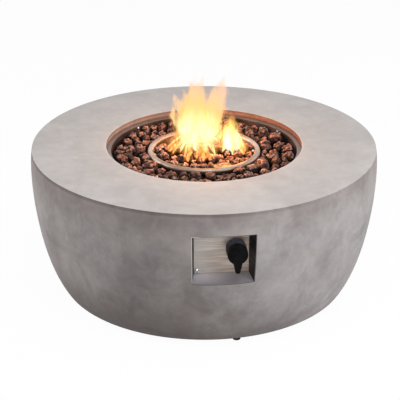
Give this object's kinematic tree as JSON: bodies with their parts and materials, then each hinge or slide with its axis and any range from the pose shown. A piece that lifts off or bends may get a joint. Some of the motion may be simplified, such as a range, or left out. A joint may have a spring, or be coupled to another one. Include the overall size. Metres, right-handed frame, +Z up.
{
  "type": "propane fire pit",
  "caption": "Round tapered concrete fire pit with a ring burner in a bed of lava rock and a recessed push-and-turn gas control.",
  "frame": {"origin": "middle of the footprint on the floor", "axes": "+Z up, -Y towards the front with the control recess, +X to the right as seen from the front"},
  "size_m": [0.9151, 0.9152, 0.39],
  "materials": {
    "concrete": "matte",
    "pan_paint": "matte",
    "burner_steel": "satin",
    "plate_steel": "satin",
    "frame_steel": "gloss",
    "fastener_steel": "gloss",
    "brass": "satin",
    "valve_metal": "satin",
    "pipe_metal": "satin",
    "black_plastic": "satin",
    "foot_rubber": "matte",
    "lava": "matte",
    "white_ceramic": "satin",
    "lead_sleeve": "satin",
    "copper": "satin"
  },
  "bodies": {
    "fire_pit": {"concrete_shell": "concrete", "fire_pan": "pan_paint", "pan_screws": "fastener_steel", "burner": "burner_steel", "burner_locknut": "fastener_steel", "air_mixer": "valve_metal", "gas_orifice": "brass", "gas_pipe": "pipe_metal", "pipe_nuts": "brass", "recess_frame": "frame_steel", "control_plate": "plate_steel", "plate_screws": "fastener_steel", "plate_washers": "fastener_steel", "plate_nuts": "fastener_steel", "knob_bezel": "black_plastic", "valve_body": "valve_metal", "valve_nut": "fastener_steel", "gas_inlet": "brass", "thermocouple_nut": "brass", "piezo_igniter": "black_plastic", "igniter_lead": "lead_sleeve", "thermocouple_lead": "copper", "igniter_bracket": "burner_steel", "bracket_screw": "fastener_steel", "igniter_hood": "burner_steel", "igniter_insulator": "white_ceramic", "igniter_pin": "fastener_steel", "thermocouple_probe": "copper", "lava_rock_bed": "lava", "lava_rocks_outer": "lava", "lava_rocks_inner": "lava", "feet": "foot_rubber", "foot_screws": "fastener_steel", "foot_inserts": "brass"},
    "plunger": {"valve_plunger": "brass"},
    "knob": {"control_knob": "black_plastic", "valve_stem": "brass"}
  },
  "joints": [
    {"name": "knob_push", "type": "slide", "parent": "fire_pit", "child": "plunger", "axis": [0, 1, 0], "range_m": [0, 0.004], "stiffness_N_per_m": 1200, "springref_m": -0.004},
    {"name": "knob_turn", "type": "hinge", "parent": "plunger", "child": "knob", "pos_m": [0.034, -0.427, 0.277], "axis": [0, -1, 0], "range_deg": [-180, 0]}
  ]
}
